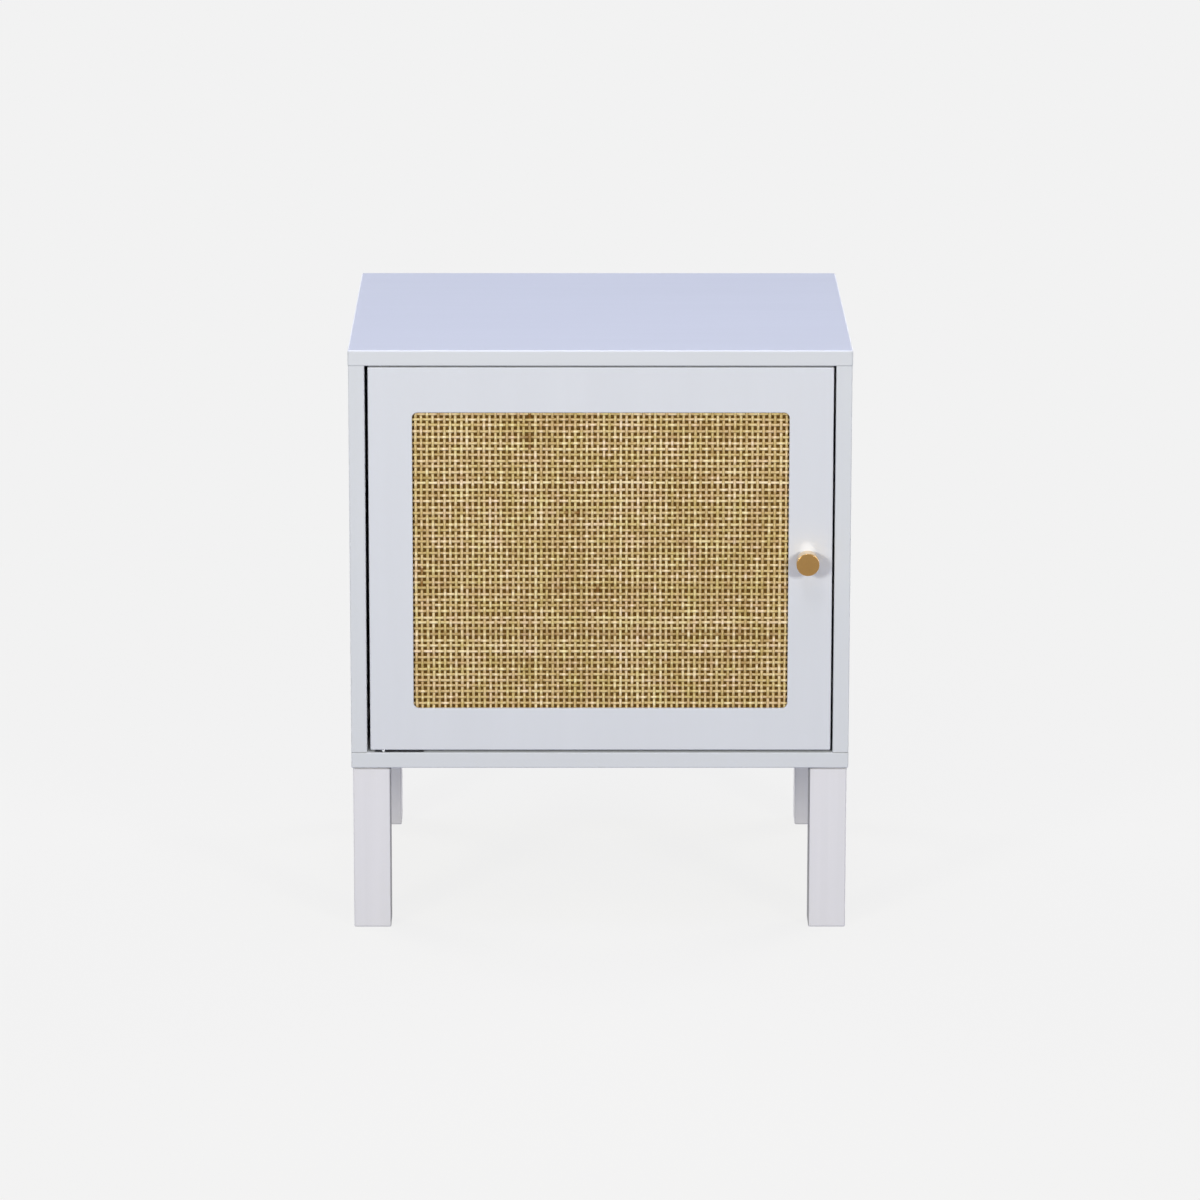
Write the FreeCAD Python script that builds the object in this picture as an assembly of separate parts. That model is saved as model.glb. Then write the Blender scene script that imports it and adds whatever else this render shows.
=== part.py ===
import FreeCAD, Part
import os
from FreeCAD import Vector

# A nightstand with one inset cane door that turns on concealed pivots at its left edge.
# Millimetres. X runs to the right, Y to the back and Z up. The origin is on the floor, under the
# middle of the whole piece with its knob.

# Cabinet: the top panel lies over the sides and the sides stand on the bottom panel
width = 470.0
depth = 400.0
height = 558.0
board = 15.0
side_setback = 0.5
edge_ease = 1.2
top_ease = 2.0

# Square legs under the corners of the bottom panel
leg_height = 156.6
leg_size = 35.0
leg_inset = 1.5
leg_ease = 1.5
leg_reveal = 1.5
leg_reveal_depth = 3.0

# Back panel in grooves
back_thickness = 3.0
back_setback = 10.0
groove_depth = 6.0
groove_end_gap = 0.5

# Door: one routed board, flush with the front of the cabinet
door_thickness = 15.0
hinge_gap = 3.1
knob_gap = 2.2
top_gap = 1.4
bottom_gap = 2.5
stile_width = 41.0
top_rail_width = 42.9
bottom_rail_width = 40.5
window_corner = 5.0
window_ease = 0.8
lip = 3.0
rebate_margin = 8.0
rebate_corner = 5.0

# Cane, its backing board and the beads that hold both in the rebate
cane_thickness = 2.0
backing_thickness = 3.0
panel_play = 0.3
bead_pin_diameter = 1.2
bead_pin_length = 14.0
bead_pin_shares = (0.2, 0.8)

# Knob and its screw
knob_diameter = 21.5
knob_head_length = 14.0
knob_ease = 0.8
knob_neck_diameter = 11.0
knob_neck_length = 6.0
knob_from_edge = 23.4
knob_screw_diameter = 4.0
knob_screw_grip = 8.0
knob_screw_head_diameter = 8.0
knob_screw_head_height = 2.6

# Pivots: a pin in a steel plate turns in a blind bush that is flush with the door's edge
pivot_from_edge = 12.0
pivot_diameter = 4.0
pivot_reach = 12.0
bush_wall = 1.5
bush_floor = 1.5
thrust_thickness = 2.0
plate_length = 46.0
plate_edge = 2.0
plate_thickness = 2.0
plate_tail = 8.0
plate_screw_shares = (0.55, 0.85)

# Magnetic catch under the top, and the strike plate on the door
catch_from_edge = 60.0
catch_width = 26.0
catch_ear = 10.0
catch_ear_thickness = 3.0
catch_length = 16.0
catch_height = 14.0
catch_wall = 3.0
catch_skin = 2.0
magnet_proud = 0.5
strike_width = 30.0
strike_margin = 1.0
strike_thickness = 1.2
strike_corner = 2.0

# Countersunk screws of the plates, the catch and the strike
screw_diameter = 3.0
screw_length = 11.0
screw_head_diameter = 5.6
screw_head_depth = 1.3
recess_width = 0.7
recess_length = 2.8
recess_depth = 0.9

# Loose shelf on four supports, with a row of spare holes above and below
shelf_setback = 45.0
shelf_back_gap = 3.0
shelf_end_gap = 0.7
shelf_height_share = 0.47
support_margin = 40.0
support_reach = 12.0
support_width = 10.0
support_thickness = 4.0
peg_diameter = 5.0
peg_depth = 8.0
peg_end_gap = 2.0
peg_pitch = 32.0
spare_rows = (-1, 0, 1)

# Cam bolts, cams and dowels between the sides and the top and bottom panels
cam_margin = 50.0
cam_distance = 24.0
cam_diameter = 15.0
cam_skin = 3.0
cam_bolt_diameter = 5.0
cam_bolt_thread = 10.0
cam_bolt_head_diameter = 7.0
cam_bolt_head_length = 3.0
cam_bolt_play = 1.0
cam_slot_length = 8.0
cam_slot_width = 1.6
cam_slot_depth = 2.0
cover_diameter = 17.0
cover_thickness = 0.9
cover_ease = 0.4
dowel_margin = 85.0
dowel_diameter = 8.0
dowel_in_panel = 10.0
dowel_in_side = 20.0
dowel_ease = 0.8
dowel_end_gap = 1.0

# Leg bolts, their inserts and the dowels beside them
leg_bolt_share = 0.31
leg_bolt_diameter = 6.0
leg_bolt_head_diameter = 13.0
leg_bolt_head_height = 3.5
leg_bolt_grip = 16.0
leg_socket_width = 4.0
leg_socket_depth = 2.2
insert_diameter = 10.0
insert_end_gap = 2.0
leg_dowel_share = 0.31

# Fits
fit = 0.1
running_fit = 0.05
overrun = 1.0
parallel_tolerance_share = 0.001

# Main places
knob_projection = knob_head_length + knob_neck_length
front = (knob_projection - depth) / 2
back = front + depth
top_under = height - board
bottom_top = leg_height + board
side_height = top_under - bottom_top
side_out = width / 2 - side_setback
side_in = side_out - board
door_left = hinge_gap - side_in
door_right = side_in - knob_gap
door_bottom = bottom_top + bottom_gap
door_top = top_under - top_gap
door_back = front + door_thickness
door_middle = (door_bottom + door_top) / 2
window_left = door_left + stile_width
window_right = door_right - stile_width
window_bottom = door_bottom + bottom_rail_width
window_top = door_top - top_rail_width
backing_front = front + lip + cane_thickness
bead_front = backing_front + backing_thickness
bead_middle = (bead_front + door_back) / 2
pivot_x = door_left + pivot_from_edge
pivot_y = front + door_thickness / 2
knob_x = door_right - knob_from_edge
catch_x = door_right - catch_from_edge
strike_back = door_back + strike_thickness
magnet_z = top_under - catch_ear_thickness - (catch_height - catch_ear_thickness) / 2
magnet_width = catch_width - 2 * catch_wall
magnet_length = catch_length - catch_wall + magnet_proud
magnet_height = catch_height - catch_ear_thickness - 2 * catch_skin
strike_height = magnet_height + 2 * strike_margin
back_front = back - back_setback - back_thickness
shelf_front = front + shelf_setback
shelf_rear = back_front - shelf_back_gap
shelf_under = bottom_top + shelf_height_share * side_height
leg_out = side_out - leg_inset
leg_in = leg_out - leg_size
insert_length = leg_bolt_grip + insert_end_gap
bush_diameter = pivot_diameter + 2 * bush_wall
bush_bore_length = pivot_reach + thrust_thickness
bush_length = bush_bore_length + bush_floor
plate_left = pivot_x - plate_tail
plate_right = plate_left + plate_length
plate_front = front + plate_edge
plate_back = door_back - plate_edge
cam_depth = board - cam_skin
cam_bolt_bore = cam_bolt_head_diameter + cam_bolt_play
peg_hole_depth = peg_depth + peg_end_gap

RIGHT = Vector(1, 0, 0)
BACK = Vector(0, 1, 0)
UP = Vector(0, 0, 1)


def block(x0, x1, y0, y1, z0, z1):
    """A box between two corners."""
    return Part.makeBox(x1 - x0, y1 - y0, z1 - z0, Vector(x0, y0, z0))


def rod(diameter, start, along, length):
    """A round bar from a point along a direction."""
    return Part.makeCylinder(diameter / 2, length, start, along)


def edges_along(solid, axis):
    """The straight edges of a box that run along an axis."""
    edges = []
    for edge in solid.Edges:
        if edge.tangentAt(edge.FirstParameter).cross(axis).Length < parallel_tolerance_share:
            edges.append(edge)
    return edges


def eased_block(x0, x1, y0, y1, z0, z1, ease):
    """A box with all its edges rounded."""
    solid = block(x0, x1, y0, y1, z0, z1)
    return solid.makeFillet(ease, solid.Edges)


def rounded_block(x0, x1, y0, y1, z0, z1, corner):
    """A box with its four corners rounded, seen from the front."""
    solid = block(x0, x1, y0, y1, z0, z1)
    return solid.makeFillet(corner, edges_along(solid, BACK))


def placed(shape, point, along):
    """A copy of a shape made along +Z, set at a point and turned to run along a direction."""
    copy = shape.copy()
    copy.Placement = FreeCAD.Placement(point, FreeCAD.Rotation(UP, along))
    return copy


def group(shapes):
    """Like pieces that share one node."""
    return Part.makeCompound(shapes)


def cross_recess():
    """The cross in a screw head that lies at the origin, with the shank along +Z."""
    half_length = recess_length / 2
    half_width = recess_width / 2
    one = block(-half_length, half_length, -half_width, half_width, -overrun, recess_depth)
    other = block(-half_width, half_width, -half_length, half_length, -overrun, recess_depth)
    return one.fuse(other)


def screw():
    """A countersunk screw along +Z, with the top of its head at the origin."""
    shank = rod(screw_diameter, Vector(), UP, screw_length)
    head = Part.makeCone(screw_head_diameter / 2, screw_diameter / 2, screw_head_depth)
    return head.fuse(shank).cut(cross_recess())


def screw_hole():
    """The hole for a countersunk screw, open past its head."""
    bore = rod(screw_diameter + 2 * fit, Vector(), UP, screw_length + fit)
    cone = Part.makeCone(screw_head_diameter / 2 + fit, screw_diameter / 2 + fit, screw_head_depth)
    mouth = rod(screw_head_diameter + 2 * fit, Vector(0, 0, -overrun), UP, overrun)
    return bore.fuse([cone, mouth])


def board_joints():
    """Each board joint: its side, its level, the way into the side panel, its end and the way inwards."""
    for side in (-1, 1):
        for level, into_side in ((top_under, -1), (bottom_top, 1)):
            for end, inwards in ((front, 1), (back, -1)):
                yield side, level, into_side, end, inwards


def joint_point(side, level, end, inwards, margin):
    """A point on a board joint, in the middle of the side panel's thickness."""
    return Vector(side * (side_in + board / 2), end + inwards * margin, level)


def cam_point(side, level, into_side, end, inwards):
    """The middle of a cam's face, on the inner face of a side panel."""
    return Vector(side * side_in, end + inwards * cam_margin, level + into_side * cam_distance)


def panel_joint_holes():
    """Holes for the cam bolts and dowels in the top and bottom panels."""
    holes = []
    for side, level, into_side, end, inwards in board_joints():
        into_panel = UP * -into_side
        bolt = joint_point(side, level, end, inwards, cam_margin)
        dowel = joint_point(side, level, end, inwards, dowel_margin)
        holes.append(rod(cam_bolt_diameter + 2 * fit, bolt, into_panel, cam_bolt_thread + fit))
        holes.append(rod(dowel_diameter + 2 * fit, dowel, into_panel, dowel_in_panel + dowel_end_gap))
    return holes


def side_joint_holes():
    """Holes for the cam bolts, cams and dowels in the side panels."""
    holes = []
    for side, level, into_side, end, inwards in board_joints():
        into_panel = UP * into_side
        bolt = joint_point(side, level, end, inwards, cam_margin)
        dowel = joint_point(side, level, end, inwards, dowel_margin)
        cam = cam_point(side, level, into_side, end, inwards)
        holes.append(rod(cam_bolt_bore, bolt, into_panel, cam_distance))
        holes.append(rod(dowel_diameter + 2 * fit, dowel, into_panel, dowel_in_side + dowel_end_gap))
        holes.append(rod(cam_diameter + 2 * fit, cam, RIGHT * side, cam_depth + fit))
    return holes


def back_groove():
    """The groove that runs round the inside of the cabinet for the back panel."""
    reach = side_in + groove_depth
    return block(-reach, reach, back_front - fit, back_front + back_thickness + fit,
                 bottom_top - groove_depth, top_under + groove_depth)


def plate_recess(level, into_panel):
    """The pocket for a pivot plate in the top or bottom panel, with its screw holes."""
    z = sorted((level + into_panel * plate_thickness, level - into_panel * overrun))
    pocket = block(plate_left - fit, plate_right + fit, plate_front - fit, plate_back + fit, z[0], z[1])
    return [pocket] + plate_screw_holes(level, into_panel)


def plate_screw_points(level):
    """Where the screws of a pivot plate start, on its outer face."""
    return [Vector(plate_left + share * plate_length, pivot_y, level) for share in plate_screw_shares]


def plate_screw_holes(level, into_panel):
    return [placed(screw_hole(), point, UP * into_panel) for point in plate_screw_points(level)]


def catch_screw_points():
    """Where the screws of the catch start, on the lower faces of its ears."""
    reach = (catch_width + catch_ear) / 2
    y = strike_back + magnet_proud + catch_length / 2
    return [Vector(catch_x + side * reach, y, top_under - catch_ear_thickness) for side in (-1, 1)]


def catch_screw_holes():
    return [placed(screw_hole(), point, UP) for point in catch_screw_points()]


def legs():
    """Each leg: its name, its side, the end of the cabinet that it stands at and the way inwards."""
    for end_name, end, inwards in (("front", front, 1), ("rear", back, -1)):
        for side_name, side in (("left", -1), ("right", 1)):
            yield end_name + "_" + side_name + "_leg", side, end, inwards


def leg_bolt_point(side, end, inwards):
    """The middle of a leg bolt on top of the bottom panel, clear of the side panel above."""
    from_inside = leg_bolt_share * leg_size
    y = end + inwards * (leg_inset + leg_size - from_inside)
    return Vector(side * (leg_in + from_inside), y, bottom_top)


def leg_dowel_point(side, end, inwards):
    """The middle of a leg dowel in the joint, beside the bolt and clear of the back panel's groove."""
    bolt = leg_bolt_point(side, end, inwards)
    return Vector(side * (leg_out - leg_dowel_share * leg_size), bolt.y, leg_height)


def leg_panel_holes():
    """Holes for the leg bolts and dowels in the bottom panel."""
    holes = []
    for name, side, end, inwards in legs():
        bolt = leg_bolt_point(side, end, inwards)
        dowel = leg_dowel_point(side, end, inwards)
        holes.append(rod(leg_bolt_head_diameter + 2 * fit, bolt, -UP, leg_bolt_head_height))
        holes.append(rod(leg_bolt_diameter + 2 * fit, bolt, -UP, board + overrun))
        holes.append(rod(dowel_diameter + 2 * fit, dowel, UP, dowel_in_panel + dowel_end_gap))
    return holes


def support_points():
    """Each shelf support: its side and the middle of its peg on the inner face of the side panel."""
    z = shelf_under - support_thickness / 2
    for side in (-1, 1):
        for y in (shelf_front + support_margin, shelf_rear - support_margin):
            yield side, Vector(side * side_in, y, z)


def peg_holes():
    """The rows of shelf holes in the side panels."""
    holes = []
    for side, point in support_points():
        for row in spare_rows:
            start = point + UP * (row * peg_pitch)
            holes.append(rod(peg_diameter + 2 * fit, start, RIGHT * side, peg_hole_depth))
    return holes


def top_panel():
    panel = block(-width / 2, width / 2, front, back, top_under, height)
    upper = [edge for edge in panel.Edges if edge.BoundBox.ZMax > top_under + board / 2]
    panel = panel.makeFillet(top_ease, upper)
    lower = [edge for edge in panel.Edges if edge.BoundBox.ZMax < top_under + board / 2]
    panel = panel.makeFillet(edge_ease, lower)
    joints = panel_joint_holes() + [back_groove()]
    return panel.cut(joints + plate_recess(top_under, 1) + catch_screw_holes())


def bottom_panel():
    panel = eased_block(-side_out, side_out, front, back, leg_height, bottom_top, edge_ease)
    joints = panel_joint_holes() + [back_groove()]
    return panel.cut(joints + plate_recess(bottom_top, -1) + leg_panel_holes())


def side_panel(side):
    faces = sorted((side * side_in, side * side_out))
    panel = block(faces[0], faces[1], front, back, bottom_top, top_under)
    panel = panel.makeFillet(edge_ease, edges_along(panel, UP))
    return panel.cut(side_joint_holes() + [back_groove()] + peg_holes())


def back_panel():
    reach = groove_depth - groove_end_gap
    return block(-side_in - reach, side_in + reach, back_front, back_front + back_thickness,
                 bottom_top - reach, top_under + reach)


def shelf():
    half = side_in - shelf_end_gap
    return eased_block(-half, half, shelf_front, shelf_rear, shelf_under, shelf_under + board, edge_ease)


def shelf_supports():
    supports = []
    for side, point in support_points():
        ends = sorted((point.x, point.x - side * support_reach))
        rest = block(ends[0], ends[1], point.y - support_width / 2, point.y + support_width / 2,
                     shelf_under - support_thickness, shelf_under)
        supports.append(rest.fuse(rod(peg_diameter, point, RIGHT * side, peg_depth)))
    return group(supports)


def leg(side, end, inwards):
    """A post with a low step round its top, which leaves a dark line under the bottom panel."""
    x = sorted((side * leg_in, side * leg_out))
    y = sorted((end + inwards * leg_inset, end + inwards * (leg_inset + leg_size)))
    shoulder = leg_height - leg_reveal
    post = block(x[0], x[1], y[0], y[1], 0, shoulder)
    foot = [edge for edge in post.Edges if edge.BoundBox.ZMax < shoulder / 2]
    post = post.makeFillet(leg_ease, edges_along(post, UP) + foot)
    neck = block(x[0] + leg_reveal_depth, x[1] - leg_reveal_depth,
                 y[0] + leg_reveal_depth, y[1] - leg_reveal_depth, shoulder, leg_height)
    post = post.fuse(neck).removeSplitter()
    bolt = leg_bolt_point(side, end, inwards)
    top = Vector(bolt.x, bolt.y, leg_height)
    socket = rod(insert_diameter + 2 * fit, top, -UP, insert_length + fit)
    dowel = leg_dowel_point(side, end, inwards)
    dowel_hole = rod(dowel_diameter + 2 * fit, dowel, -UP, dowel_in_side + dowel_end_gap)
    return post.cut([socket, dowel_hole])


def dowel_pin():
    """A wooden dowel along +Z, whose origin lies in the joint that it crosses."""
    pin = rod(dowel_diameter, Vector(0, 0, -dowel_in_panel), UP, dowel_in_panel + dowel_in_side)
    rims = [edge for edge in pin.Edges if edge.BoundBox.ZLength < dowel_ease]
    return pin.makeChamfer(dowel_ease, rims)


def panel_dowels():
    dowels = []
    for side, level, into_side, end, inwards in board_joints():
        point = joint_point(side, level, end, inwards, dowel_margin)
        dowels.append(placed(dowel_pin(), point, UP * into_side))
    return group(dowels)


def leg_dowels():
    dowels = []
    for name, side, end, inwards in legs():
        dowels.append(placed(dowel_pin(), leg_dowel_point(side, end, inwards), -UP))
    return group(dowels)


def cam_bolt():
    """A cam bolt along +Z, whose origin lies in the joint that it crosses."""
    reach = cam_distance + cam_bolt_head_length / 2
    stem = rod(cam_bolt_diameter, Vector(0, 0, -cam_bolt_thread), UP, cam_bolt_thread + reach)
    head = rod(cam_bolt_head_diameter, Vector(0, 0, reach - cam_bolt_head_length), UP, cam_bolt_head_length)
    return stem.fuse(head)


def cam_bolts():
    bolts = []
    for side, level, into_side, end, inwards in board_joints():
        point = joint_point(side, level, end, inwards, cam_margin)
        bolts.append(placed(cam_bolt(), point, UP * into_side))
    return group(bolts)


def cam_lock(side, level, into_side, end, inwards):
    """A cam with a channel that takes the bolt's head and a slot to turn it by."""
    face = cam_point(side, level, into_side, end, inwards)
    cam = rod(cam_diameter, face, RIGHT * side, cam_depth)
    bolt = joint_point(side, level, end, inwards, cam_margin)
    channel = rod(cam_bolt_bore, bolt, UP * into_side, cam_distance + cam_bolt_head_length)
    depths = sorted((face.x - side * overrun, face.x + side * cam_slot_depth))
    slot = block(depths[0], depths[1], face.y - cam_slot_length / 2, face.y + cam_slot_length / 2,
                 face.z - cam_slot_width / 2, face.z + cam_slot_width / 2)
    return cam.cut([channel, slot])


def cam_locks():
    return group([cam_lock(*joint) for joint in board_joints()])


def cam_covers():
    """Thin caps on the inner faces of the sides, over the cams."""
    covers = []
    for side, level, into_side, end, inwards in board_joints():
        cap = rod(cover_diameter, Vector(), UP, cover_thickness)
        rim = [edge for edge in cap.Edges if edge.BoundBox.ZMin > cover_thickness / 2]
        face = cam_point(side, level, into_side, end, inwards)
        covers.append(placed(cap.makeFillet(cover_ease, rim), face, RIGHT * -side))
    return group(covers)


def leg_bolts():
    """Socket-head bolts, let in flush with the top of the bottom panel."""
    bolts = []
    for name, side, end, inwards in legs():
        point = leg_bolt_point(side, end, inwards)
        head = rod(leg_bolt_head_diameter, point, -UP, leg_bolt_head_height)
        shank = rod(leg_bolt_diameter, point, -UP, board + leg_bolt_grip)
        half = leg_socket_width / 2
        socket = block(point.x - half, point.x + half, point.y - half, point.y + half,
                       point.z - leg_socket_depth, point.z + overrun)
        bolts.append(head.fuse(shank).cut(socket))
    return group(bolts)


def leg_inserts():
    inserts = []
    for name, side, end, inwards in legs():
        point = leg_bolt_point(side, end, inwards)
        top = Vector(point.x, point.y, leg_height)
        sleeve = rod(insert_diameter, top, -UP, insert_length)
        inserts.append(sleeve.cut(rod(leg_bolt_diameter + 2 * fit, top, -UP, insert_length + overrun)))
    return group(inserts)


def pivot_plate(level, into_panel):
    """A plate let in flush, with a hole for the pivot pin and two for its screws."""
    z = sorted((level, level + into_panel * plate_thickness))
    plate = block(plate_left, plate_right, plate_front, plate_back, z[0], z[1])
    start = Vector(pivot_x, pivot_y, level - into_panel * overrun)
    hole = rod(pivot_diameter + 2 * running_fit, start, UP * into_panel, plate_thickness + 2 * overrun)
    return plate.cut([hole] + plate_screw_holes(level, into_panel))


def pivot_pin(level, into_panel, gap):
    """A pin from the back of its plate, across the gap and into the door's bush."""
    start = Vector(pivot_x, pivot_y, level + into_panel * plate_thickness)
    return rod(pivot_diameter, start, UP * -into_panel, plate_thickness + gap + pivot_reach)


def pivot_plate_screws():
    screws = []
    for level, into_panel in ((top_under, 1), (bottom_top, -1)):
        screws += [placed(screw(), point, UP * into_panel) for point in plate_screw_points(level)]
    return group(screws)


def thrust_disc():
    """The disc at the end of the lower bush, through which the door stands on its pin."""
    return rod(pivot_diameter, Vector(pivot_x, pivot_y, door_bottom + pivot_reach), UP, thrust_thickness)


def pivot_bush(level, outwards):
    """A blind bush in the door's top or bottom edge."""
    edge = Vector(pivot_x, pivot_y, level)
    into_door = UP * -outwards
    sleeve = rod(bush_diameter, edge, into_door, bush_length)
    return sleeve.cut(rod(pivot_diameter + 2 * running_fit, edge, into_door, bush_bore_length))


def catch_housing():
    """A body that hangs under the top panel by two ears, open in front for the magnet."""
    y0 = strike_back + magnet_proud
    y1 = y0 + catch_length
    half = catch_width / 2
    reach = half + catch_ear
    body = block(catch_x - half, catch_x + half, y0, y1, top_under - catch_height, top_under)
    ears = block(catch_x - reach, catch_x + reach, y0, y1, top_under - catch_ear_thickness, top_under)
    half_pocket = magnet_width / 2 + fit
    half_height = magnet_height / 2 + fit
    pocket = block(catch_x - half_pocket, catch_x + half_pocket, y0 - overrun, y1 - catch_wall,
                   magnet_z - half_height, magnet_z + half_height)
    return body.fuse(ears).cut([pocket] + catch_screw_holes())


def catch_magnet():
    half = magnet_width / 2
    return block(catch_x - half, catch_x + half, strike_back, strike_back + magnet_length,
                 magnet_z - magnet_height / 2, magnet_z + magnet_height / 2)


def catch_screws():
    return group([placed(screw(), point, UP) for point in catch_screw_points()])


def strike_screw_point():
    return Vector(catch_x, strike_back, magnet_z)


def strike_plate():
    plate = rounded_block(catch_x - strike_width / 2, catch_x + strike_width / 2, door_back, strike_back,
                          magnet_z - strike_height / 2, magnet_z + strike_height / 2, strike_corner)
    return plate.cut(placed(screw_hole(), strike_screw_point(), -BACK))


def strike_screw():
    return placed(screw(), strike_screw_point(), -BACK)


def bead_pin_places():
    """Where each bead pin starts, on a bead's inner face, and the way it is driven."""
    for share in bead_pin_shares:
        x = window_left + share * (window_right - window_left)
        z = window_bottom + share * (window_top - window_bottom)
        yield Vector(x, bead_middle, window_top), UP
        yield Vector(x, bead_middle, window_bottom), -UP
        yield Vector(window_left, bead_middle, z), -RIGHT
        yield Vector(window_right, bead_middle, z), RIGHT


def bead_pins():
    places = bead_pin_places()
    return group([rod(bead_pin_diameter, start, along, bead_pin_length) for start, along in places])


def bead_pin_holes():
    size = bead_pin_diameter + 2 * running_fit
    return [rod(size, start, along, bead_pin_length + fit) for start, along in bead_pin_places()]


def rebate_block(y0, y1, play):
    """A sheet that fills the rebate from one depth to another, less its play."""
    margin = rebate_margin - play
    return rounded_block(window_left - margin, window_right + margin, y0, y1, window_bottom - margin,
                         window_top + margin, rebate_corner - play)


def window_edges(frame):
    """The window's edges on the front face of the door."""
    edges = []
    for edge in frame.Edges:
        box = edge.BoundBox
        on_front = box.YMax < front + window_ease
        in_x = box.XMin > window_left - window_ease and box.XMax < window_right + window_ease
        in_z = box.ZMin > window_bottom - window_ease and box.ZMax < window_top + window_ease
        if on_front and in_x and in_z:
            edges.append(edge)
    return edges


def door_frame():
    frame = eased_block(door_left, door_right, front, door_back, door_bottom, door_top, edge_ease)
    window = rounded_block(window_left, window_right, front - overrun, door_back, window_bottom, window_top,
                           window_corner)
    frame = frame.cut([window, rebate_block(front + lip, door_back + overrun, 0)])
    frame = frame.makeFillet(window_ease, window_edges(frame))
    holes = bead_pin_holes()
    for level, outwards in ((door_top, 1), (door_bottom, -1)):
        edge = Vector(pivot_x, pivot_y, level)
        holes.append(rod(bush_diameter + 2 * fit, edge, UP * -outwards, bush_length + fit))
    knob_start = Vector(knob_x, front - overrun, door_middle)
    holes.append(rod(knob_screw_diameter + 2 * fit, knob_start, BACK, door_thickness + 2 * overrun))
    holes.append(placed(screw_hole(), strike_screw_point(), -BACK))
    return frame.cut(holes)


def cane_panel():
    return rebate_block(front + lip, backing_front, panel_play)


def cane_backing():
    return rebate_block(backing_front, bead_front, panel_play)


def retaining_bead(part_of_ring):
    """One of the four strips that fill the rebate behind the backing board."""
    ring = rebate_block(bead_front, door_back, panel_play)
    opening = block(window_left, window_right, bead_front, door_back, window_bottom, window_top)
    return ring.cut(opening).common(part_of_ring).cut(bead_pin_holes())


def long_bead(z0, z1):
    """A bead that runs along the top or bottom of the rebate, corners included."""
    return retaining_bead(block(door_left, door_right, bead_front, door_back, z0, z1))


def short_bead(x0, x1):
    """A bead between the two long ones."""
    return retaining_bead(block(x0, x1, bead_front, door_back, window_bottom + fit, window_top - fit))


def knob():
    face = Vector(knob_x, front - knob_projection, door_middle)
    head = rod(knob_diameter, face, BACK, knob_head_length)
    rims = [edge for edge in head.Edges if edge.BoundBox.YLength < knob_ease]
    head = head.makeFillet(knob_ease, rims)
    seat = Vector(knob_x, front, door_middle)
    neck = rod(knob_neck_diameter, seat, -BACK, knob_neck_length)
    thread = rod(knob_screw_diameter + 2 * fit, seat, -BACK, knob_screw_grip + fit)
    return head.fuse(neck).cut(thread)


def knob_screw():
    """A pan-head screw from the back of the door into the knob's neck."""
    base = Vector(knob_x, door_back, door_middle)
    head = rod(knob_screw_head_diameter, base, BACK, knob_screw_head_height)
    rim = [edge for edge in head.Edges if edge.BoundBox.YMin > door_back + knob_screw_head_height / 2]
    head = head.makeFillet(knob_screw_head_height / 2, rim)
    shank = rod(knob_screw_diameter, base, -BACK, door_thickness + knob_screw_grip)
    top = Vector(knob_x, door_back + knob_screw_head_height, door_middle)
    return head.fuse(shank).cut(placed(cross_recess(), top, -BACK))


def all_parts():
    """Every sub-part with its name, in the order of assembly."""
    yield "bottom_panel", bottom_panel()
    for name, side, end, inwards in legs():
        yield name, leg(side, end, inwards)
    yield "leg_inserts", leg_inserts()
    yield "leg_dowels", leg_dowels()
    yield "leg_bolts", leg_bolts()
    yield "left_side_panel", side_panel(-1)
    yield "right_side_panel", side_panel(1)
    yield "back_panel", back_panel()
    yield "top_panel", top_panel()
    yield "panel_dowels", panel_dowels()
    yield "cam_bolts", cam_bolts()
    yield "cam_locks", cam_locks()
    yield "cam_covers", cam_covers()
    yield "shelf_supports", shelf_supports()
    yield "shelf", shelf()
    yield "lower_pivot_plate", pivot_plate(bottom_top, -1)
    yield "lower_pivot_pin", pivot_pin(bottom_top, -1, bottom_gap)
    yield "lower_thrust_disc", thrust_disc()
    yield "upper_pivot_plate", pivot_plate(top_under, 1)
    yield "upper_pivot_pin", pivot_pin(top_under, 1, top_gap)
    yield "pivot_plate_screws", pivot_plate_screws()
    yield "catch_housing", catch_housing()
    yield "catch_magnet", catch_magnet()
    yield "catch_screws", catch_screws()
    yield "door_frame", door_frame()
    yield "cane_panel", cane_panel()
    yield "cane_backing", cane_backing()
    yield "retaining_bead_top", long_bead(window_top, door_top)
    yield "retaining_bead_bottom", long_bead(door_bottom, window_bottom)
    yield "retaining_bead_left", short_bead(door_left, window_left)
    yield "retaining_bead_right", short_bead(window_right, door_right)
    yield "bead_pins", bead_pins()
    yield "lower_pivot_bush", pivot_bush(door_bottom, -1)
    yield "upper_pivot_bush", pivot_bush(door_top, 1)
    yield "knob", knob()
    yield "knob_screw", knob_screw()
    yield "strike_plate", strike_plate()
    yield "strike_screw", strike_screw()


os.makedirs("parts", exist_ok=True)
for part_name, shape in all_parts():
    shape.exportStep("parts/" + part_name + ".step")
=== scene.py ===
import math
import random

import bmesh
import bpy
from mathutils import Euler, Matrix, Vector, noise


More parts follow.
